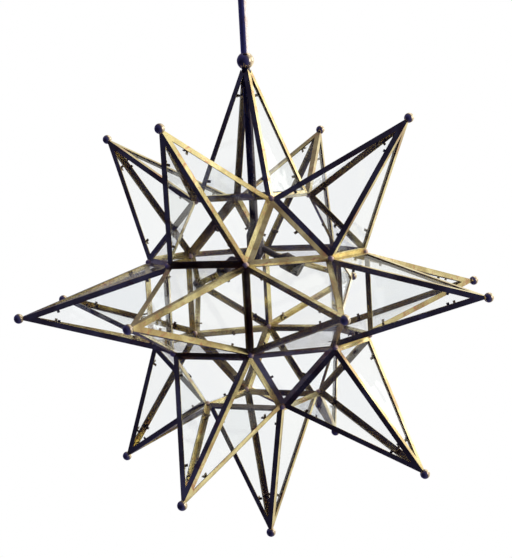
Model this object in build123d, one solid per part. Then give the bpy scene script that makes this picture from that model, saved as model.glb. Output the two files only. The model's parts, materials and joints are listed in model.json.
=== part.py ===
from build123d import *
import math
import os

# A glazed moravian star that hangs from a ceiling box on a rigid tube. Millimetres, +Z up.
# The origin is at the ceiling, on the tube's axis. The star has a body with 18 square and
# 8 triangular faces. Each square face carries a hollow four-sided glass point.

# Star
body_edge = 127.0  # side of every body face
point_height = 213.5  # from a square face to where a point's outer corner lines meet
flange_width = 8.0  # leg of the brass angle strips
flange_thickness = 1.2
glass_thickness = 2.0
glass_play = 0.15  # between a flange's back and the glass
pane_side_inset = 5.3  # from a point's corner line to the glass edge
pane_base_inset = 2.5  # from a body edge to the glass edge
pane_tip_setback = 24.0  # glass stops this far short of the tip, along the slope
top_pane_setback = 50.0  # the same in the top point, where the stem's stop collar sits
tip_ball_radius = 7.2
tip_ball_drop = 3.0  # ball centre below the point's outer tip
ball_flats = 12  # flats round each ball
bead_radius = 3.4  # from a body corner to the flats of its solder bead

# Bent tabs that hold the panes
tab_width = 4.0
tab_thickness = 0.8
tab_reach = 11.5  # from the corner line to the tab's free end
tab_from_tip = 60.0
tab_from_base = 35.0

# Tubes and the ball on the top point
tube_radius = 6.35
tube_bore = 4.95
fit_gap = 0.05  # radial gap where one fixed piece sits in another
exposed_rod = 152.4  # tube that shows between canopy and top ball
top_ball_radius = 13.0
top_ball_drop = 7.0  # ball centre below the top point's outer tip
tube_joint_gap = 1.0  # between the two tube ends inside the ball

# How the star hangs on the stem
neck_clearance = 1.25  # between the stem and the strips round it, for the rocking
neck_gap = 0.4  # from the top ball down to the strips' ends
seat_depth = 36.0  # from the top point's tip down to the seat plate's underside
seat_thickness = 3.0
seat_clearance = 0.75  # between the stem and the seat plate's hole
seat_play = 0.6  # between the seat plate and the washer, for the rocking
washer_radius = 8.4
washer_thickness = 1.2
washer_clearance = 0.08  # radial running gap on the stem
stop_collar_radius = 9.0
stop_collar_height = 7.0
stop_collar_chamfer = 0.6
set_screw_radius = 1.5

# Ceiling fixings
canopy_radius = 63.5
canopy_height = 25.0
canopy_wall = 1.2
canopy_rim = 6.0  # straight lip against the ceiling
canopy_boss_radius = 18.0
canopy_shoulder_radius = 56.0  # where the side's steep cone meets the shallow one
canopy_shoulder_depth = 17.0
canopy_tube_clearance = 0.25
canopy_collar_radius = 11.0
canopy_collar_height = 8.0
canopy_collar_chamfer = 1.5
crossbar_length = 106.0
crossbar_width = 19.0
crossbar_thickness = 2.5
box_screw_spacing = 88.9
box_screw_hole_radius = 2.2
nipple_radius = 4.8
nipple_bore = 3.6
nipple_length = 28.0
lock_nut_across_flats = 15.9
lock_nut_height = 4.0

# Lamp cluster
hub_top_above_centre = 110.0  # above the star's centre
hub_height = 50.0
hub_radius = 13.0
hub_neck_radius = 8.2
hub_foot_radius = 7.0
hub_shoulder = 12.0  # length of the cone between the hub's neck and its side
hub_taper = 8.0  # length of the cone down to its foot
hub_stem_depth = 12.0
hub_wall = 3.0
hub_nut_radius = 6.0
hub_nut_tip_radius = 2.5
hub_nut_height = 5.0
hub_spigot_length = 4.0
arm_count = 3
arm_azimuth = -18.8  # of the first arm, from -Y towards +X
arm_slope = 30.0  # below the horizontal
arm_drop = 27.0  # from the hub's top down to where the arms' axes meet
arm_radius = 4.8
arm_bore = 3.6
arm_start = 8.0  # along the arm's axis, inside the hub's wall
cup_start = 44.0  # along the arm's axis, from the tube's axis to the cup's back
cup_length = 36.0
cup_radius = 13.0
cup_back_radius = 7.8  # flat at the back, round the arm
cup_shoulder = 6.5  # length of the cone between back and side
cup_wall = 1.0
insert_gap = 0.1
insert_length = 26.5
insert_recess = 0.5  # below the cup's mouth
shell_bore = 6.1  # takes a candle lamp's screw base
shell_wall = 0.4
shell_length = 20.0
shell_recess = 2.0  # below the cup's mouth
contact_radius = 2.5
contact_height = 1.0  # above the floor of the shell's room
shell_foot_gap = 1.5  # from the shell down to that floor

# Worked out from the sizes above
half_edge = body_edge / 2
face_distance = body_edge * (1 + math.sqrt(2)) / 2
slope_length = math.hypot(point_height, half_edge)
tip_half_angle = math.atan2(half_edge, slope_length)
# The tip is filed off square where its four corner lines reach the ball's surface
corner_run = half_edge * math.sqrt(2) / point_height
ball_reach = tip_ball_radius**2 - tip_ball_drop**2
widening = 1 + corner_run**2
tip_cut = (tip_ball_drop + math.sqrt(tip_ball_drop**2 + widening * ball_reach)) / widening
glass_depth = flange_thickness + glass_play
tube_hole = tube_radius + fit_gap
ball_z = -canopy_height - exposed_rod - top_ball_radius
tip_z = ball_z + top_ball_drop
star_centre = Vector(0, 0, tip_z - point_height - face_distance)
seat_z = tip_z - seat_depth
washer_top_z = seat_z - seat_play
collar_top_z = washer_top_z - washer_thickness - fit_gap
hub_top_z = star_centre.Z + hub_top_above_centre
rod_top_z = -crossbar_thickness - lock_nut_height
arms_z = hub_top_z - arm_drop


def save(name, *pieces):
    # Each node is written as its own file; loose pieces of one kind stay separate solids.
    solids = [solid for piece in pieces for solid in piece.solids()]
    shape = solids[0] if len(solids) == 1 else Compound(children=solids)
    shape.label = name
    export_step(shape, f"parts/{name}.step")


def tube(outer, inner, low, high):
    ring = Circle(outer) - Circle(inner)
    return Pos(0, 0, low) * extrude(ring, high - low)


def turned(*points):
    # A solid of revolution about Z from half a section, given as (radius, z).
    return revolve(make_face(Plane.XZ * Polyline(*points, close=True)), Axis.Z)


def filed_ball(radius, flats):
    # A ball with few faces: what three prisms share that lie along X, Y and Z
    outline = RegularPolygon(radius, flats, major_radius=False, rotation=180 / flats)
    prism = extrude(outline, radius, both=True)
    return prism & Rot(90, 0, 0) * prism & Rot(0, 90, 0) * prism


def inset(corner, along, other, distance):
    # The point that lies this far inside both edges that meet at a pane's corner.
    first = (along - corner).normalized()
    second = (other - corner).normalized()
    half = math.radians(first.get_angle(second)) / 2
    return corner + (first + second).normalized() * (distance / math.sin(half))


def outward(start, end, third, inside):
    normal = (end - start).cross(third - start).normalized()
    return normal if normal.dot(inside - start) < 0 else -normal


def flange(start, end, third, inside, back_shift):
    # One leg of an angle strip, on the pane start-end-third. Its ends are mitred on the
    # pane's corners, and its folded edge is cut on the strip's own mid-plane.
    inward = -outward(start, end, third, inside) * flange_thickness
    front = [
        start,
        end,
        inset(end, start, third, flange_width),
        inset(start, end, third, flange_width),
    ]
    back = [
        inset(start, end, third, back_shift) + inward,
        inset(end, start, third, back_shift) + inward,
        front[2] + inward,
        front[3] + inward,
    ]
    outlines = [Wire.make_polygon(points, close=True) for points in (front, back)]
    return Part(Solid.make_loft(outlines, ruled=True).wrapped)


def angle_strip(start, end, thirds, insides, proud):
    # Two legs folded along start-end. A proud strip covers an outside corner of the star,
    # the others lie in its valleys.
    normals = [outward(start, end, third, inside) for third, inside in zip(thirds, insides)]
    fold = math.radians(normals[0].get_angle(normals[1])) / 2
    back_shift = flange_thickness * math.tan(fold) * (1 if proud else -1)
    first, second = [
        flange(start, end, third, inside, back_shift)
        for third, inside in zip(thirds, insides)
    ]
    return first + second


def pane_tab(start, end, third, inside, along):
    # A bent tab: its foot stands on the flange beside the glass, and its arm lies on it.
    edge = (end - start).normalized()
    rise = third - start
    across = (rise - edge * rise.dot(edge)).normalized()
    out = outward(start, end, third, inside)
    place = Plane(origin=start + edge * along, x_dir=across, z_dir=across.cross(out))
    foot = pane_side_inset - glass_play - tab_thickness
    arm_depth = glass_depth + glass_thickness + glass_play / 2
    section = Polyline(
        (foot, -flange_thickness),
        (foot + tab_thickness, -flange_thickness),
        (foot + tab_thickness, -arm_depth),
        (tab_reach, -arm_depth),
        (tab_reach, -arm_depth - tab_thickness),
        (foot, -arm_depth - tab_thickness),
        close=True,
    )
    return extrude(place * make_face(section), tab_width / 2, both=True)


def point_pane(setback):
    # One trapezoid of glass of a point whose square base is centred on the origin.
    side = pane_side_inset / math.cos(tip_half_angle)

    def half_width(height):
        return half_edge * (1 - height / slope_length) - side

    low = pane_base_inset
    high = slope_length - setback
    outline = Polyline(
        (-half_width(low), low),
        (half_width(low), low),
        (half_width(high), high),
        (-half_width(high), high),
        close=True,
    )
    face = Plane(
        origin=(0, -half_edge, 0), x_dir=(1, 0, 0), z_dir=(0, -point_height, half_edge)
    )
    sheet = extrude(make_face(outline), -glass_thickness)
    return face * Pos(0, 0, -glass_depth) * sheet


def quarter_turns(piece):
    return [Rot(0, 0, 90 * turn) * piece for turn in range(4)]


# A bead of solder has eighteen flats, one along each way that the body's edges can run
bead = filed_ball(bead_radius, 8)

# One point, on a square base centred on the origin with its tip up +Z
base_corners = [
    Vector(x, y, 0)
    for x, y in (
        (-half_edge, -half_edge),
        (half_edge, -half_edge),
        (half_edge, half_edge),
    )
]
tip = Vector(0, 0, point_height)
base_centre = Vector(0, 0, 0)

corner_strip = angle_strip(
    base_corners[1],
    tip,
    thirds=(base_corners[0], base_corners[2]),
    insides=(base_centre, base_centre),
    proud=True,
)
filed_end = Plane((0, 0, point_height - tip_cut))
strips_under_ball = quarter_turns(split(corner_strip, filed_end, Keep.BOTTOM))
neck_end = Plane((0, 0, point_height - top_ball_drop - top_ball_radius - neck_gap))
stem_room = Cylinder(tube_radius + neck_clearance, 2 * point_height)
neck_strip = split(corner_strip, neck_end, Keep.BOTTOM) - stem_room
strips_round_stem = quarter_turns(neck_strip)
ball_place = Pos(0, 0, point_height - tip_ball_drop)
tip_ball = split(ball_place * filed_ball(tip_ball_radius, ball_flats), filed_end)

pane_tabs = []
strip_length = (tip - base_corners[1]).length
for third in (base_corners[0], base_corners[2]):
    for along in (tab_from_base, strip_length - tab_from_tip):
        tab = pane_tab(base_corners[1], tip, third, base_centre, along)
        pane_tabs += quarter_turns(tab)

panes = quarter_turns(point_pane(pane_tip_setback))
top_panes = quarter_turns(point_pane(top_pane_setback))

# Where the 18 points stand: name, azimuth from -Y towards +X, and elevation
point_places = [("top_point", 0, 90), ("bottom_point", 0, -90)]
point_places += [(f"middle_point_{n + 1}", 45 * n, 0) for n in range(8)]
point_places += [(f"upper_point_{n + 1}", 90 * n, 45) for n in range(4)]
point_places += [(f"lower_point_{n + 1}", 90 * n, -45) for n in range(4)]

tip_balls = []
placed_tabs = []
for name, azimuth, elevation in point_places:
    turn = math.radians(azimuth)
    lift = math.radians(elevation)
    normal = Vector(
        math.sin(turn) * math.cos(lift), -math.cos(turn) * math.cos(lift), math.sin(lift)
    )
    stand = Plane(
        origin=star_centre + normal * face_distance,
        x_dir=(math.cos(turn), math.sin(turn), 0),
        z_dir=normal,
    )
    on_stem = name == "top_point"
    strips = strips_round_stem if on_stem else strips_under_ball
    beaded = []
    for quarter, strip in enumerate(strips):
        corner = stand * Rot(0, 0, 90 * quarter) * Pos(base_corners[1])
        beaded.append(stand * strip - Pos(corner.position) * bead)
    save(f"{name}_frame", *beaded)
    glass = top_panes if on_stem else panes
    save(f"{name}_panes", *[stand * pane for pane in glass])
    placed_tabs += [stand * tab for tab in pane_tabs]
    if not on_stem:
        tip_balls.append(stand * tip_ball)
save("tip_balls", *tip_balls)

# The body's corners are every order and sign of (1, 1, 1 + root 2) half edges
long_side = half_edge * (1 + math.sqrt(2))
signs = (-1, 1)
body_corners = [
    Vector(*[sign * size for sign, size in zip((x, y, z), sizes)])
    for sizes in (
        (long_side, half_edge, half_edge),
        (half_edge, long_side, half_edge),
        (half_edge, half_edge, long_side),
    )
    for x in signs
    for y in signs
    for z in signs
]
square_normals = [
    Vector(x, y, z).normalized()
    for x in (-1, 0, 1)
    for y in (-1, 0, 1)
    for z in (-1, 0, 1)
    if abs(x) + abs(y) + abs(z) in (1, 2)
]
near = 0.001


def squares_at(*corners):
    return [
        normal
        for normal in square_normals
        if all(abs(normal.dot(corner) - face_distance) < near for corner in corners)
    ]


# An edge between two squares is a valley strip; the others border a triangle
edge_strips = []
for first, start in enumerate(body_corners):
    for end in body_corners[first + 1 :]:
        if abs((end - start).length - body_edge) > near:
            continue
        squares = squares_at(start, end)
        thirds = [normal * (face_distance + point_height) for normal in squares]
        insides = [normal * face_distance for normal in squares]
        if len(squares) == 1:
            triangle_tip = next(
                corner
                for corner in body_corners
                if abs((corner - start).length - body_edge) < near
                and abs((corner - end).length - body_edge) < near
                and not squares_at(start, end, corner)
            )
            thirds.append(triangle_tip)
            insides.append(Vector(0, 0, 0))
        strip = angle_strip(start, end, thirds, insides, proud=False)
        for corner, other in ((start, end), (end, start)):
            along = (other - corner).normalized()
            strip = split(strip, Plane(corner + along * bead_radius, z_dir=along))
        edge_strips.append(Pos(star_centre) * strip)
save("body_edge_strips", *edge_strips)
save("solder_beads", *[Pos(star_centre + corner) * bead for corner in body_corners])

# Flat panes behind the eight triangles, each with a tab at the middle of its sides
triangle_panes = []
for x in signs:
    for y in signs:
        for z in signs:
            corners = [
                Vector(x * long_side, y * half_edge, z * half_edge),
                Vector(x * half_edge, y * long_side, z * half_edge),
                Vector(x * half_edge, y * half_edge, z * long_side),
            ]
            inside = Vector(0, 0, 0)
            out = outward(*corners, inside)
            outline = []
            for n in range(3):
                side = (corners[n], corners[n - 1], corners[n - 2])
                outline.append(inset(*side, pane_side_inset) - out * glass_depth)
                tab = pane_tab(*side, inside, half_edge)
                placed_tabs.append(Pos(star_centre) * tab)
            face = make_face(Polyline(*outline, close=True))
            sheet = extrude(face, glass_thickness, dir=-out)
            triangle_panes.append(Pos(star_centre) * sheet)
save("triangle_panes", *triangle_panes)
save("pane_tabs", *placed_tabs)

# Square plate soldered inside the top point, which carries the star
tip_run = half_edge / point_height  # half width gained for each millimetre below a tip
wall_run = flange_thickness * slope_length / point_height


def room_at(depth):
    # Half the width between the strips' backs, at this depth below a tip
    return depth * tip_run - wall_run - fit_gap


plate_sides = [
    Pos(0, 0, tip_z - depth) * Rectangle(2 * room_at(depth), 2 * room_at(depth))
    for depth in (seat_depth, seat_depth - seat_thickness)
]
seat_plate = loft(plate_sides, ruled=True)
seat_plate -= Pos(0, 0, seat_z) * Cylinder(tube_radius + seat_clearance, 4 * seat_thickness)
save("top_seat_plate", seat_plate)


def outer_edges(ring):
    return ring.edges().filter_by(GeomType.CIRCLE).group_by(SortBy.RADIUS)[-1]


# Loose washer that turns on the stem, and the collar that is clamped under it
washer_bore = tube_radius + washer_clearance
washer = tube(washer_radius, washer_bore, washer_top_z - washer_thickness, washer_top_z)
save("swivel_washer", washer)
stop_collar = tube(stop_collar_radius, tube_hole, collar_top_z - stop_collar_height, collar_top_z)
stop_collar = chamfer(outer_edges(stop_collar), stop_collar_chamfer)
canopy_collar = tube(
    canopy_collar_radius, tube_hole, -canopy_height - canopy_collar_height, -canopy_height
)
canopy_collar = chamfer(outer_edges(canopy_collar), canopy_collar_chamfer)


def set_screw(radius, height):
    # Headless screw in a collar's side, from its outside to the tube
    grip = radius - tube_radius
    return Pos(tube_radius + grip / 2, 0, height) * Rot(0, 90, 0) * Cylinder(set_screw_radius, grip)


def screw_hole(radius, height):
    hole = Cylinder(set_screw_radius + fit_gap, radius)
    return Pos(tube_radius + radius / 2, 0, height) * Rot(0, 90, 0) * hole


stop_screw_z = collar_top_z - stop_collar_height / 2
canopy_screw_z = -canopy_height - canopy_collar_height / 2
save("stop_collar", stop_collar - screw_hole(stop_collar_radius, stop_screw_z))
save("canopy_collar", canopy_collar - screw_hole(canopy_collar_radius, canopy_screw_z))
save(
    "set_screws",
    set_screw(stop_collar_radius, stop_screw_z),
    set_screw(canopy_collar_radius, canopy_screw_z),
)

# Ball, rod above it and stem below it
top_ball = filed_ball(top_ball_radius, 2 * ball_flats)
top_ball -= Cylinder(tube_hole, 3 * top_ball_radius)
save("top_ball", Pos(0, 0, ball_z) * top_ball)
save("hanging_rod", tube(tube_radius, tube_bore, ball_z + tube_joint_gap / 2, rod_top_z))
save(
    "inner_stem",
    tube(tube_radius, tube_bore, hub_top_z - hub_stem_depth, ball_z - tube_joint_gap / 2),
)


# Canopy: a shallow spun dish
def dish(wall):
    # Solid of the dish less its wall: a straight lip, a steep cone and a shallow one
    bottom = -canopy_height + wall
    return turned(
        (0, 0),
        (canopy_radius - wall, 0),
        (canopy_radius - wall, -canopy_rim),
        (canopy_shoulder_radius - wall / 2, -canopy_shoulder_depth + wall),
        (canopy_boss_radius, bottom),
        (0, bottom),
    )


canopy_hole = Cylinder(tube_radius + canopy_tube_clearance, 2 * canopy_height)
save("canopy", dish(0) - dish(canopy_wall) - canopy_hole)

# Crossbar, nipple and lock nut inside the canopy
bar = SlotOverall(crossbar_length, crossbar_width)
bar -= Circle(nipple_radius + fit_gap)
for side in signs:
    bar -= Pos(side * box_screw_spacing / 2, 0) * Circle(box_screw_hole_radius)
save("crossbar", extrude(bar, -crossbar_thickness))
save("canopy_nipple", tube(nipple_radius, nipple_bore, -nipple_length, 0))
nut_face = RegularPolygon(lock_nut_across_flats / 2, 6, major_radius=False)
nut_face -= Circle(nipple_radius + fit_gap)
save("nipple_lock_nut", Pos(0, 0, rod_top_z) * extrude(nut_face, lock_nut_height))

# Hub: a tapered barrel with a bore for the stem, a wiring hollow and the arms' holes
hub_bottom_z = hub_top_z - hub_height
hub = turned(
    (0, hub_top_z),
    (hub_neck_radius, hub_top_z),
    (hub_radius, hub_top_z - hub_shoulder),
    (hub_radius, hub_bottom_z + hub_taper),
    (hub_foot_radius, hub_bottom_z),
    (0, hub_bottom_z),
)
hub -= Pos(0, 0, hub_top_z) * Cylinder(tube_hole, 2 * hub_stem_depth)
spigot_hole = hub_foot_radius - hub_wall
hub -= Pos(0, 0, hub_bottom_z + hub_height / 2) * Cylinder(spigot_hole, hub_height)
spigot_radius = spigot_hole - fit_gap
hub_nut = turned(
    (0, hub_bottom_z + hub_spigot_length),
    (spigot_radius, hub_bottom_z + hub_spigot_length),
    (spigot_radius, hub_bottom_z),
    (hub_nut_radius, hub_bottom_z),
    (hub_nut_radius, hub_bottom_z - hub_nut_height / 2),
    (hub_nut_tip_radius, hub_bottom_z - hub_nut_height),
    (0, hub_bottom_z - hub_nut_height),
)
save("hub_bottom_nut", hub_nut)

# Arms and sockets, first drawn with their axis up +Z from the tube's axis
cup_mouth = cup_start + cup_length
insert_top = cup_mouth - insert_recess
insert_start = insert_top - insert_length
arm = tube(arm_radius, arm_bore, arm_start, cup_start + 2 * cup_wall)
arm_hole = arm_radius + fit_gap
cup = turned(
    (arm_hole, cup_start),
    (cup_back_radius, cup_start),
    (cup_radius, cup_start + cup_shoulder),
    (cup_radius, cup_mouth),
    (cup_radius - cup_wall, cup_mouth),
    (cup_radius - cup_wall, cup_start + cup_shoulder + cup_wall / 2),
    (cup_back_radius - cup_wall / 2, cup_start + cup_wall),
    (arm_hole, cup_start + cup_wall),
)
insert_radius = cup_radius - cup_wall - insert_gap
shell_top = cup_mouth - shell_recess
shell_room = shell_bore + shell_wall + fit_gap
shell_foot = shell_top - shell_length
insert_floor = shell_foot - shell_foot_gap
insert = tube(insert_radius, shell_room, insert_floor, insert_top)
insert += tube(insert_radius, contact_radius + fit_gap, insert_start, insert_floor)
shell = tube(shell_bore + shell_wall, shell_bore, shell_foot, shell_top)
contact_length = insert_floor + contact_height - insert_start
contact = Pos(0, 0, insert_start) * extrude(Circle(contact_radius), contact_length)

arms = []
cups = []
inserts = []
shells = []
contacts = []
for n in range(arm_count):
    azimuth = arm_azimuth + n * 360 / arm_count
    # Tilt the upright socket to point out along -Y and down, then turn it to its azimuth
    aim = Pos(0, 0, arms_z) * Rot(0, 0, azimuth) * Rot(90 + arm_slope, 0, 0)
    hub -= aim * Pos(0, 0, arm_start + hub_radius) * Cylinder(arm_hole, 2 * hub_radius)
    arms.append(aim * arm)
    cups.append(aim * cup)
    inserts.append(aim * insert)
    shells.append(aim * shell)
    contacts.append(aim * contact)
save("hub", hub)
save("socket_arms", *arms)
save("socket_cups", *cups)
save("socket_inserts", *inserts)
save("screw_shells", *shells)
save("centre_contacts", *contacts)
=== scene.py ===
import json
import math

import bpy
from mathutils import Matrix, Vector


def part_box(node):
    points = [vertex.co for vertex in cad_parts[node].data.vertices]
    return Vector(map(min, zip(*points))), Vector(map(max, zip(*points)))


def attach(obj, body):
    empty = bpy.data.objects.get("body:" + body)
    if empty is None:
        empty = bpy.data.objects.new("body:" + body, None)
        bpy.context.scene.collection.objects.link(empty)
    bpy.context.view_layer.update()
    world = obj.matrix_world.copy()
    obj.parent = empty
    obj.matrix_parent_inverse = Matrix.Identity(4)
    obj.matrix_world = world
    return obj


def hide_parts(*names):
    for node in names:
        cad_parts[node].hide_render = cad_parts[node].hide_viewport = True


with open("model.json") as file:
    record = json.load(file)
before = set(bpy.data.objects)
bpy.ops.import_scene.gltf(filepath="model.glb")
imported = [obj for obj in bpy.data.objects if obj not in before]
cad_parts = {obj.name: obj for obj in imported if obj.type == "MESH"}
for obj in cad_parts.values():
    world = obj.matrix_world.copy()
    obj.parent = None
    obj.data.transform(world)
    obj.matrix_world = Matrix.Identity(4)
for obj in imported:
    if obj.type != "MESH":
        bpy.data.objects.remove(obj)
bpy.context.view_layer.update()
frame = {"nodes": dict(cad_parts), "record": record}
cadNodes = frame["nodes"]
print("frame loaded:", len(cadNodes), "nodes")

# The star's own measures, as the CAD source has them, in metres
star = {
    "bodyEdge": 0.127,
    "pointHeight": 0.2135,
    "tipBallDrop": 0.003,  # from a point's tip in to the middle of its ball
}
halfEdge = star["bodyEdge"] / 2
faceDistance = halfEdge * (1 + math.sqrt(2))  # from the star's centre to a square of the body


def middleOf(nodeName):
    low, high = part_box(nodeName)
    return (Vector(low) + Vector(high)) / 2


starCentre = middleOf("body_edge_strips")
print("star centre at", [round(c, 4) for c in starCentre])


# small helpers for node trees

def add(tree, kind, inputs=None, **settings):
    # a node with its settings; an input is either a value or another node's socket
    node = tree.nodes.new(kind)
    for name, value in settings.items():
        setattr(node, name, value)
    for name, value in (inputs or {}).items():
        socket = node.inputs[name]
        if isinstance(value, bpy.types.NodeSocket):
            tree.links.new(value, socket)
        else:
            socket.default_value = value
    return node


def ramp(tree, factor, stops):
    # colour ramp from (position, colour) pairs
    node = add(tree, "ShaderNodeValToRGB", {"Fac": factor})
    elements = node.color_ramp.elements
    while len(elements) < len(stops):
        elements.new(0.5)
    for element, (position, colour) in zip(elements, stops):
        element.position = position
        element.color = (*colour, 1)
    return node.outputs["Color"]


def noise(tree, coords, scale, detail, roughness=0.55, distortion=0.0):
    node = add(tree, "ShaderNodeTexNoise", {
        "Vector": coords, "Scale": scale, "Detail": detail,
        "Roughness": roughness, "Distortion": distortion,
    })
    return node.outputs["Fac"]


def spread(tree, factor, fromLow, fromHigh, low, high):
    # stretches one range of a value over another
    node = add(tree, "ShaderNodeMapRange", {
        "Value": factor, "From Min": fromLow, "From Max": fromHigh,
        "To Min": low, "To Max": high,
    })
    return node.outputs["Result"]


def blendColours(tree, factor, first, second):
    # inputs 0, 6 and 7 of a Mix node are its factor and its two colours
    node = add(tree, "ShaderNodeMix", data_type="RGBA", blend_type="MIX")
    share = node.inputs[0]
    for socket, value in ((share, factor), (node.inputs[6], first), (node.inputs[7], second)):
        if isinstance(value, bpy.types.NodeSocket):
            tree.links.new(value, socket)
        else:
            socket.default_value = value if socket == share else (*value, 1)
    return node.outputs[2]


def newLook(name):
    # an empty material with Object coordinates; returns material, tree, coords
    material = bpy.data.materials.new(name)
    material.use_nodes = True
    tree = material.node_tree
    tree.nodes.clear()
    coords = add(tree, "ShaderNodeTexCoord").outputs["Object"]
    return material, tree, coords


def finishLook(tree, shader):
    output = add(tree, "ShaderNodeOutputMaterial")
    tree.links.new(shader, output.inputs["Surface"])


def bump(tree, height, strength, distance, normal=None):
    inputs = {"Height": height, "Strength": strength, "Distance": distance}
    if normal is not None:
        inputs["Normal"] = normal
    return add(tree, "ShaderNodeBump", inputs).outputs["Normal"]


# What all the metals share: where the patches, streaks and spots of their patina lie
patina = {
    "patchStops": (0.26, 0.44, 0.62, 0.80),  # brown, body, bright, body again
    "patchDetail": 6,
    "patchSwirl": 0.6,
    "streakDetail": 5,
    "streakRoughness": 0.7,
    "streakSwirl": 1.2,
    "streakRange": (0.54, 0.66),
    "streakCover": 0.75,
    "speckFineness": 9,  # times the streaks' scale
    "speckDetail": 3,
    "speckRange": (0.64, 0.74),
    "speckCover": 0.5,
    "roughRange": (0.3, 0.7),
    "scratchScale": 1400.0,
    "scratchDetail": 2,
    "scratchStretch": (1, 1, 0.12),
    "patchBump": (0.05, 0.002),  # strength, metres
    "scratchBump": (0.05, 0.0004),
}


def metalFinish(name, look, seedShift=0.0):
    # metal patinated in patches, with streaks of a second colour and small dark spots
    material, tree, coords = newLook(name)
    place = add(tree, "ShaderNodeMapping", {
        "Vector": coords, "Location": (seedShift, seedShift, seedShift),
    })
    place = place.outputs["Vector"]
    patches = noise(
        tree, place, look["patchScale"],
        detail=patina["patchDetail"], distortion=patina["patchSwirl"],
    )
    streaks = noise(
        tree, place, look["streakScale"], detail=patina["streakDetail"],
        roughness=patina["streakRoughness"], distortion=patina["streakSwirl"],
    )
    speckScale = look["streakScale"] * patina["speckFineness"]
    specks = noise(tree, place, speckScale, detail=patina["speckDetail"])
    patchColours = (look["brown"], look["body"], look["bright"], look["body"])
    colour = ramp(tree, patches, list(zip(patina["patchStops"], patchColours)))
    streakMask = spread(tree, streaks, *patina["streakRange"], 0.0, patina["streakCover"])
    colour = blendColours(tree, streakMask, colour, look["copper"])
    speckMask = spread(tree, specks, *patina["speckRange"], 0.0, patina["speckCover"])
    colour = blendColours(tree, speckMask, colour, look["tarnish"])
    rough = spread(tree, streaks, *patina["roughRange"], *look["roughness"])
    scratches = add(tree, "ShaderNodeMapping", {
        "Vector": coords, "Scale": patina["scratchStretch"],
    })
    scratches = noise(
        tree, scratches.outputs["Vector"], patina["scratchScale"],
        detail=patina["scratchDetail"],
    )
    normal = bump(tree, patches, *patina["patchBump"])
    normal = bump(tree, scratches, *patina["scratchBump"], normal)
    shader = add(tree, "ShaderNodeBsdfPrincipled", {
        "Base Color": colour, "Metallic": 1.0, "Roughness": rough, "Normal": normal,
    })
    finishLook(tree, shader.outputs["BSDF"])
    return material


agedBrass = {
    "bright": (0.88, 0.80, 0.46),
    "body": (0.54, 0.45, 0.22),
    "brown": (0.28, 0.16, 0.10),
    "tarnish": (0.12, 0.08, 0.085),
    "copper": (0.52, 0.21, 0.13),
    "patchScale": 16.0,
    "streakScale": 55.0,
    "roughness": (0.19, 0.27),
}

ballBrass = {
    "bright": (0.80, 0.71, 0.54),
    "body": (0.64, 0.55, 0.42),
    "brown": (0.36, 0.28, 0.25),
    "tarnish": (0.12, 0.09, 0.10),
    "copper": (0.46, 0.26, 0.19),
    "patchScale": 70.0,
    "streakScale": 220.0,
    "roughness": (0.05, 0.13),
}

tabBrass = {
    "bright": (0.34, 0.28, 0.20),
    "body": (0.20, 0.16, 0.12),
    "brown": (0.10, 0.08, 0.07),
    "tarnish": (0.03, 0.025, 0.03),
    "copper": (0.24, 0.12, 0.08),
    "patchScale": 90.0,
    "streakScale": 260.0,
    "roughness": (0.30, 0.5),
}

darkBronze = {
    "bright": (0.16, 0.145, 0.16),
    "body": (0.07, 0.062, 0.08),
    "brown": (0.035, 0.03, 0.045),
    "tarnish": (0.014, 0.013, 0.02),
    "copper": (0.10, 0.055, 0.045),
    "patchScale": 24.0,
    "streakScale": 120.0,
    "roughness": (0.22, 0.40),
}

rodLook = {
    "bright": (0.76, 0.71, 0.72),
    "body": (0.65, 0.60, 0.62),
    "brown": (0.50, 0.44, 0.46),
    "tarnish": (0.24, 0.19, 0.21),
    "copper": (0.50, 0.38, 0.34),
    "patchScale": 20.0,
    "streakScale": 90.0,
    "roughness": (0.18, 0.28),
}

turnedBrass = {
    "bright": (0.90, 0.74, 0.40),
    "body": (0.78, 0.60, 0.30),
    "brown": (0.52, 0.36, 0.18),
    "tarnish": (0.24, 0.16, 0.10),
    "copper": (0.60, 0.34, 0.20),
    "patchScale": 60.0,
    "streakScale": 300.0,
    "roughness": (0.18, 0.34),
}

solderLook = {
    "bright": (0.92, 0.76, 0.70),
    "body": (0.78, 0.60, 0.54),
    "brown": (0.46, 0.30, 0.27),
    "tarnish": (0.18, 0.12, 0.12),
    "copper": (0.66, 0.36, 0.28),
    "patchScale": 120.0,
    "streakScale": 400.0,
    "roughness": (0.42, 0.68),
}

zincLook = {
    "bright": (0.78, 0.78, 0.76),
    "body": (0.62, 0.62, 0.60),
    "brown": (0.46, 0.45, 0.42),
    "tarnish": (0.26, 0.25, 0.24),
    "copper": (0.58, 0.55, 0.46),
    "patchScale": 140.0,
    "streakScale": 420.0,
    "roughness": (0.26, 0.42),
}

glassLook = {
    "tint": (0.984, 0.989, 0.990),
    "smudgeTint": (0.996, 0.996, 0.996),
    "smudgeFineness": 4,  # times the waves' scale
    "smudgeRange": (0.3, 0.8),
    "smudgeCover": 0.5,
    "reflectionAtFront": 0.020,
    "reflectionAtSlant": 0.50,
    "slantPower": 5.0,  # how late the mirroring comes in as the glass turns away
    "gloss": (0.93, 0.96, 1.0),
    "waveScale": 14.0,
    "waveStrength": 0.08,
    "waveDepth": 0.01,
    "roughness": 0.02,
}


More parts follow.
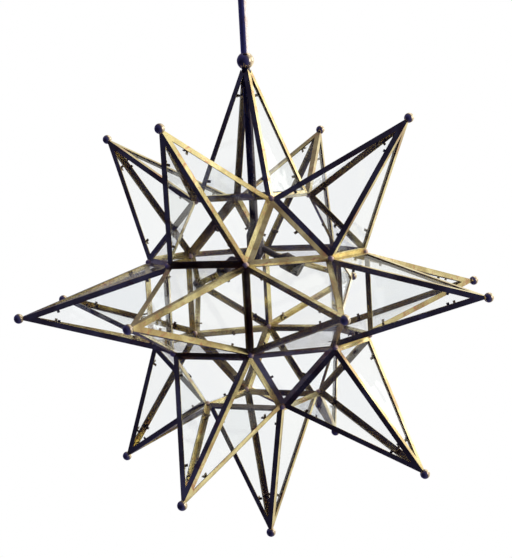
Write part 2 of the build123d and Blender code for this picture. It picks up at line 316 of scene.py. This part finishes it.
def glassFinish(name, look):
    # clear sheet: light passes straight on, and each face mirrors more at a slant
    material, tree, coords = newLook(name)
    waves = noise(tree, coords, look["waveScale"], detail=2)
    normal = bump(tree, waves, look["waveStrength"], look["waveDepth"])
    facing = add(tree, "ShaderNodeLayerWeight", {"Blend": 0.5}).outputs["Facing"]
    slant = add(tree, "ShaderNodeMath", {
        0: facing, 1: look["slantPower"],
    }, operation="POWER").outputs[0]
    mirrored = spread(
        tree, slant, 0.0, 1.0, look["reflectionAtFront"], look["reflectionAtSlant"],
    )
    smudgeScale = look["waveScale"] * look["smudgeFineness"]
    smudge = noise(tree, coords, smudgeScale, detail=5, roughness=0.7)
    smudgeMask = spread(tree, smudge, *look["smudgeRange"], 0.0, look["smudgeCover"])
    tint = blendColours(tree, smudgeMask, look["tint"], look["smudgeTint"])
    through = add(tree, "ShaderNodeBsdfTransparent", {"Color": tint})
    gloss = add(tree, "ShaderNodeBsdfGlossy", {
        "Color": (*look["gloss"], 1), "Roughness": look["roughness"], "Normal": normal,
    })
    mix = add(tree, "ShaderNodeMixShader", {
        "Fac": mirrored, 1: through.outputs["BSDF"], 2: gloss.outputs["BSDF"],
    })
    finishLook(tree, mix.outputs["Shader"])
    return material


phenolicLook = {
    "base": (0.018, 0.016, 0.016),
    "fleck": (0.06, 0.045, 0.04),
    "fleckScale": 900.0,
    "fleckRange": (0.58, 0.72),
    "fleckBump": (0.05, 0.0003),  # strength, metres
    "cloudScale": 130.0,
    "cloudRange": (0.3, 0.7),
    "roughness": (0.28, 0.45),
}


def phenolicFinish(name, look):
    # moulded black insulator with faint brown flecks
    material, tree, coords = newLook(name)
    flecks = noise(tree, coords, look["fleckScale"], detail=4)
    cloud = noise(tree, coords, look["cloudScale"], detail=3)
    fleckMask = spread(tree, flecks, *look["fleckRange"], 0.0, 1.0)
    colour = blendColours(tree, fleckMask, look["base"], look["fleck"])
    shader = add(tree, "ShaderNodeBsdfPrincipled", {
        "Base Color": colour,
        "Roughness": spread(tree, cloud, *look["cloudRange"], *look["roughness"]),
        "Normal": bump(tree, flecks, *look["fleckBump"]),
    })
    finishLook(tree, shader.outputs["BSDF"])
    return material


# One finish for each material slot; the last number moves the pattern to another place
finishes = {
    "antique_brass": metalFinish("agedBrassStrip", agedBrass),
    "ball_brass": metalFinish("darkPolishedBall", ballBrass, 0.31),
    "tab_brass": metalFinish("tabBrass", tabBrass, 0.57),
    "dark_bronze": metalFinish("rubbedBronze", darkBronze, 0.83),
    "bright_brass": metalFinish("turnedBrass", turnedBrass, 1.27),
    "solder": metalFinish("copperWashedSolder", solderLook, 1.61),
    "zinc_steel": metalFinish("zincPlate", zincLook, 1.93),
    "clear_glass": glassFinish("clearSheetGlass", glassLook),
    "phenolic": phenolicFinish("mouldedPhenolic", phenolicLook),
}

# the rod is paler than the other brass
ownFinish = {"hanging_rod": metalFinish("paleRod", rodLook, 2.17)}

for subpart in frame["record"]["subparts"]:
    piece = cadNodes[subpart["node"]]
    material = ownFinish.get(subpart["node"], finishes[subpart["material_slot"]])
    for slotNumber in range(len(piece.material_slots)):
        piece.material_slots[slotNumber].material = material


# pieces made by node trees

def newTree(name, sizes):
    # a geometry tree with a mesh in, a mesh out, and one named number for each size
    tree = bpy.data.node_groups.new(name, "GeometryNodeTree")
    tree.is_modifier = True
    mesh = "NodeSocketGeometry"
    tree.interface.new_socket("Geometry", in_out="INPUT", socket_type=mesh)
    for sizeName, value in sizes.items():
        kind = "NodeSocketInt" if isinstance(value, int) else "NodeSocketFloat"
        socket = tree.interface.new_socket(sizeName, in_out="INPUT", socket_type=kind)
        socket.default_value = value
    tree.interface.new_socket("Geometry", in_out="OUTPUT", socket_type=mesh)
    return tree, add(tree, "NodeGroupInput")


def closeTree(tree, geometry, material):
    # every tree ends in real faces that carry their finish
    real = add(tree, "GeometryNodeRealizeInstances", {"Geometry": geometry})
    dressed = add(tree, "GeometryNodeSetMaterial", {
        "Geometry": real.outputs["Geometry"], "Material": material,
    })
    output = add(tree, "NodeGroupOutput")
    tree.links.new(dressed.outputs["Geometry"], output.inputs[0])


def bake(name, points, tree, sizes):
    # runs the tree on bare points and keeps the result as a plain smooth mesh
    seedMesh = bpy.data.meshes.new(name + "Points")
    seedMesh.from_pydata([tuple(point) for point in points], [], [])
    holder = bpy.data.objects.new(name + "Holder", seedMesh)
    bpy.context.scene.collection.objects.link(holder)
    modifier = holder.modifiers.new(name, "NODES")
    modifier.node_group = tree
    given = [item for item in tree.interface.items_tree if item.in_out == "INPUT"]
    sockets = {item.name: item.identifier for item in given}
    for sizeName, value in sizes.items():
        modifier[sockets[sizeName]] = value
    depsgraph = bpy.context.evaluated_depsgraph_get()
    mesh = bpy.data.meshes.new_from_object(holder.evaluated_get(depsgraph))
    holder.modifiers.remove(modifier)
    bpy.data.objects.remove(holder)
    mesh.shade_smooth()
    piece = bpy.data.objects.new(name, mesh)
    mesh.name = name
    bpy.context.scene.collection.objects.link(piece)
    print(name, len(mesh.polygons), "faces")
    return piece


def pointDirections():
    # the 18 ways the points face: every axis, and halfway between every two
    steps = (-1, 0, 1)
    tooLong = 1.5  # leaves out the 8 ways to a cube's corners
    ways = [Vector((x, y, z)) for x in steps for y in steps for z in steps]
    return [way.normalized() for way in ways if 0 < way.length < tooLong]


def bodyCorners():
    # the 24 corners of the body, where the strips meet
    far, near = faceDistance, halfEdge
    corners = []
    for sizes in ((far, near, near), (near, far, near), (near, near, far)):
        for x in (-1, 1):
            for y in (-1, 1):
                for z in (-1, 1):
                    offset = Vector((x * sizes[0], y * sizes[1], z * sizes[2]))
                    corners.append(starCentre + offset)
    return corners


ballSizes = {"Radius": 0.0072, "Segments": 40, "Rings": 20}
topBallSizes = {"Radius": 0.013, "Segments": 64, "Rings": 32}


def makeBallTree(material, sizes):
    # a smooth ball on every point
    tree, given = newTree("ballOnEachPoint", sizes)
    ball = add(tree, "GeometryNodeMeshUVSphere", {
        "Radius": given.outputs["Radius"],
        "Segments": given.outputs["Segments"],
        "Rings": given.outputs["Rings"],
    })
    placed = add(tree, "GeometryNodeInstanceOnPoints", {
        "Points": given.outputs["Geometry"], "Instance": ball.outputs["Mesh"],
    })
    closeTree(tree, placed.outputs["Instances"], material)
    return tree


ballTree = makeBallTree(finishes["ball_brass"], ballSizes)
ballReach = faceDistance + star["pointHeight"] - star["tipBallDrop"]
straightUp = 0.9  # the point that faces up carries the larger ball instead
sideWays = [way for way in pointDirections() if way.z < straightUp]
ballPlaces = [starCentre + way * ballReach for way in sideWays]
tipBalls = bake("tipBalls", ballPlaces, ballTree, ballSizes)
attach(tipBalls, "star")
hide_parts("tip_balls")

topBall = bake("topBall", [middleOf("top_ball")], ballTree, topBallSizes)
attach(topBall, "hanger")
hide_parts("top_ball")

solderSizes = {
    "Radius": 0.0046,
    "Subdivisions": 4,
    "Lumpiness": 0.0016,
    "Lump scale": 260.0,
    "Lump detail": 1.0,
    "Lump level": 0.62,  # noise above this swells the lump, below it draws the lump in
    "Seed shift": 3.7,
}


def makeSolderTree(material, sizes):
    # a lump of solder on every corner, each with its own bumps
    tree, given = newTree("solderLumps", sizes)
    lump = add(tree, "GeometryNodeMeshIcoSphere", {
        "Radius": given.outputs["Radius"], "Subdivisions": given.outputs["Subdivisions"],
    })
    placed = add(tree, "GeometryNodeInstanceOnPoints", {
        "Points": given.outputs["Geometry"], "Instance": lump.outputs["Mesh"],
    })
    real = add(tree, "GeometryNodeRealizeInstances", {"Geometry": placed.outputs["Instances"]})
    place = add(tree, "GeometryNodeInputPosition")
    shifted = add(tree, "ShaderNodeVectorMath", {
        0: place.outputs["Position"], 1: given.outputs["Seed shift"],
    }, operation="ADD")
    lumps = add(tree, "ShaderNodeTexNoise", {
        "Vector": shifted.outputs["Vector"], "Scale": given.outputs["Lump scale"],
        "Detail": given.outputs["Lump detail"],
    })
    centred = add(tree, "ShaderNodeMath", {
        0: lumps.outputs["Fac"], 1: given.outputs["Lump level"],
    }, operation="SUBTRACT")
    rise = add(tree, "ShaderNodeMath", {
        0: centred.outputs[0], 1: given.outputs["Lumpiness"],
    }, operation="MULTIPLY")
    facing = add(tree, "GeometryNodeInputNormal")
    push = add(tree, "ShaderNodeVectorMath", {
        0: facing.outputs["Normal"], "Scale": rise.outputs[0],
    }, operation="SCALE")
    moved = add(tree, "GeometryNodeSetPosition", {
        "Geometry": real.outputs["Geometry"], "Offset": push.outputs["Vector"],
    })
    closeTree(tree, moved.outputs["Geometry"], material)
    return tree


solderTree = makeSolderTree(finishes["solder"], solderSizes)
solderLumps = bake("solderLumps", bodyCorners(), solderTree, solderSizes)
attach(solderLumps, "star")
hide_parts("solder_beads")


# pieces that are their CAD node again, worked over by modifiers

stripEdges = {"rounding": 0.00028, "segments": 2, "angle": 25.0, "merge": 0.00001}
paneGap = {"perSide": 0.00006, "merge": 0.00001}


def mergedCopy(nodeName, mergeDistance):
    # the CAD piece again, with its loose triangles merged, ready for modifiers
    first, *rest = nodeName.split("_")
    pieceName = first + "".join(word.capitalize() for word in rest)
    mesh = cadNodes[nodeName].data.copy()
    piece = bpy.data.objects.new(pieceName, mesh)
    bpy.context.scene.collection.objects.link(piece)
    weld = piece.modifiers.new("merge", "WELD")
    weld.merge_threshold = mergeDistance
    return piece


def settle(piece, nodeName):
    # modifiers become a plain mesh, and the piece takes its CAD node's place on the star
    depsgraph = bpy.context.evaluated_depsgraph_get()
    mesh = bpy.data.meshes.new_from_object(piece.evaluated_get(depsgraph))
    piece.modifiers.clear()
    piece.data = mesh
    mesh.name = piece.name
    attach(piece, "star")
    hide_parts(nodeName)


def easeStrip(nodeName, settings):
    # brass angle with its edges eased
    piece = mergedCopy(nodeName, settings["merge"])
    ease = piece.modifiers.new("ease", "BEVEL")
    ease.width = settings["rounding"]
    ease.segments = settings["segments"]
    ease.limit_method = "ANGLE"
    ease.angle_limit = math.radians(settings["angle"])
    settle(piece, nodeName)


def freePanes(nodeName, settings):
    # panes a hair thinner, so that their faces don't share a plane with the flanges
    piece = mergedCopy(nodeName, settings["merge"])
    shrink = piece.modifiers.new("shrink", "DISPLACE")
    shrink.mid_level = 0.0
    shrink.strength = -settings["perSide"]
    settle(piece, nodeName)


stripNodes = [name for name in cadNodes if name.endswith("_frame") or name == "body_edge_strips"]
paneNodes = [name for name in cadNodes if name.endswith("_panes")]
for nodeName in stripNodes:
    easeStrip(nodeName, stripEdges)
for nodeName in paneNodes:
    freePanes(nodeName, paneGap)
print("eased", len(stripNodes), "strip pieces, freed", len(paneNodes), "sets of panes")


# camera, as the photograph was taken

photoView = {
    "turn": 26.1677,        # degrees round the star, from -Y
    "place": (0.4263, -15.8277, 1.5146),  # in body edges from the star's centre, before the turn
    "pan": 0.0279,          # radians, left
    "tilt": -0.0805,        # radians, down
    "roll": 0.0547,         # radians: the star leans in the photograph
    "lens": 85.38,
    "sensor": 36.0,
    "nearest": 0.01,
}

camera = bpy.data.objects.new("photoCamera", bpy.data.cameras.new("photoCamera"))
bpy.context.scene.collection.objects.link(camera)
camera.data.lens = photoView["lens"]
camera.data.sensor_width = photoView["sensor"]
camera.data.sensor_fit = "AUTO"
camera.data.clip_start = photoView["nearest"]
turn = math.radians(photoView["turn"])
placed = Matrix.Rotation(turn, 4, "Z") @ (Vector(photoView["place"]) * star["bodyEdge"])
camera.matrix_world = (
    Matrix.Translation(starCentre + placed)
    @ Matrix.Rotation(turn + photoView["pan"], 4, "Z")
    @ Matrix.Rotation(photoView["tilt"], 4, "X")
    @ Matrix.Rotation(photoView["roll"], 4, "Y")
    @ Matrix.Rotation(math.radians(90), 4, "X")
)
bpy.context.scene.camera = camera

floor = {
    "radius": 3.3,
    "sides": 96,
    "height": -2.4,
    "colour": (0.80, 0.80, 0.79),
    "mottle": (0.74, 0.74, 0.73),
    "mottleScale": 6.0,
    "roughness": 0.8,
    "glow": 0.5,
}


def makeFloor(settings):
    # pale round floor, far below the star
    bpy.ops.mesh.primitive_circle_add(
        vertices=settings["sides"], radius=settings["radius"], fill_type="NGON",
        location=(starCentre.x, starCentre.y, settings["height"]),
    )
    disc = bpy.context.object
    disc.name = "paleFloor"
    material, tree, coords = newLook("paleFloor")
    mottle = noise(tree, coords, settings["mottleScale"], detail=5)
    colour = blendColours(tree, mottle, settings["colour"], settings["mottle"])
    shader = add(tree, "ShaderNodeBsdfPrincipled", {
        "Base Color": colour, "Roughness": settings["roughness"],
        "Emission Color": (*settings["colour"], 1), "Emission Strength": settings["glow"],
    })
    finishLook(tree, shader.outputs["BSDF"])
    disc.data.materials.append(material)
    disc.visible_glossy = False  # brass is a mirror: the floor would light it from below


makeFloor(floor)

# Directions as the photograph's viewer sees them
viewTurn = Matrix.Rotation(turn, 3, "Z")
toRight = viewTurn @ Vector((1, 0, 0))
toViewer = viewTurn @ Vector((0, -1, 0))
up = Vector((0, 0, 1))

studio = {
    "keyFrom": (0.80, -0.56, 0.30),  # right, towards the viewer, up
    "sky": [  # from the side away from the key (0) to the side it comes from (1)
        (0.04, (0.012, 0.012, 0.050)),
        (0.40, (0.042, 0.045, 0.180)),
        (0.67, (0.100, 0.094, 0.180)),
        (0.77, (0.50, 0.46, 0.40)),
        (0.89, (1.12, 1.06, 0.90)),
    ],
    "strength": 1.0,
}


def makeWorld(settings):
    # the camera sees plain white; all else is lit by a soft sky, bright at the right
    world = bpy.data.worlds.new("softStudio")
    bpy.context.scene.world = world
    world.use_nodes = True
    tree = world.node_tree
    tree.nodes.clear()
    right, near, high = settings["keyFrom"]
    keyDirection = (toRight * right + toViewer * near + up * high).normalized()
    direction = add(tree, "ShaderNodeTexCoord").outputs["Generated"]
    along = add(tree, "ShaderNodeVectorMath", {
        0: direction, 1: keyDirection,
    }, operation="DOT_PRODUCT")
    level = spread(tree, along.outputs["Value"], -1.0, 1.0, 0.0, 1.0)
    sky = ramp(tree, level, settings["sky"])
    lit = add(tree, "ShaderNodeBackground", {"Color": sky, "Strength": settings["strength"]})
    white = add(tree, "ShaderNodeBackground", {"Color": (1, 1, 1, 1), "Strength": 1.0})
    seen = add(tree, "ShaderNodeLightPath").outputs["Is Camera Ray"]
    mix = add(tree, "ShaderNodeMixShader", {
        "Fac": seen, 1: lit.outputs["Background"], 2: white.outputs["Background"],
    })
    output = add(tree, "ShaderNodeOutputWorld")
    tree.links.new(mix.outputs["Shader"], output.inputs["Surface"])


makeWorld(studio)

# "at" is right, towards the viewer and up, in metres from the star's centre
softboxes = {
    "keyLight": {
        "at": (2.7, -1.5, 1.0), "size": (1.2, 1.2), "watts": 10, "colour": (1.0, 0.95, 0.84),
    },
    "sideLight": {
        "at": (2.5, 1.1, 0.5), "size": (0.9, 1.7), "watts": 7, "colour": (1.0, 0.97, 0.96),
    },
    "topLight": {
        "at": (0.9, -1.4, 2.4), "size": (1.2, 1.0), "watts": 4, "colour": (1.0, 0.97, 0.92),
    },
    "rearLight": {
        "at": (0.8, -2.8, -0.4), "size": (1.4, 1.0), "watts": 4, "colour": (0.94, 0.95, 1.0),
    },
}


def makeSoftboxes(boxes):
    # each one faces the star's centre, unseen by the camera
    for name, box in boxes.items():
        right, near, high = box["at"]
        light = bpy.data.lights.new(name, "AREA")
        light.shape = "RECTANGLE"
        light.size, light.size_y = box["size"]
        light.energy = box["watts"]
        light.color = box["colour"]
        lamp = bpy.data.objects.new(name, light)
        bpy.context.scene.collection.objects.link(lamp)
        lamp.location = starCentre + toRight * right + toViewer * near + up * high
        lamp.rotation_euler = (starCentre - lamp.location).to_track_quat("-Z", "Y").to_euler()
        lamp.visible_camera = False


makeSoftboxes(softboxes)

rays = {"throughGlass": 64, "bounces": 8}  # a ray can cross dozens of pane faces

scene = bpy.context.scene
scene.view_settings.view_transform = "Standard"
scene.cycles.transparent_max_bounces = rays["throughGlass"]
scene.cycles.max_bounces = rays["bounces"]
scene.cycles.caustics_reflective = False
print("room, light and camera ready")
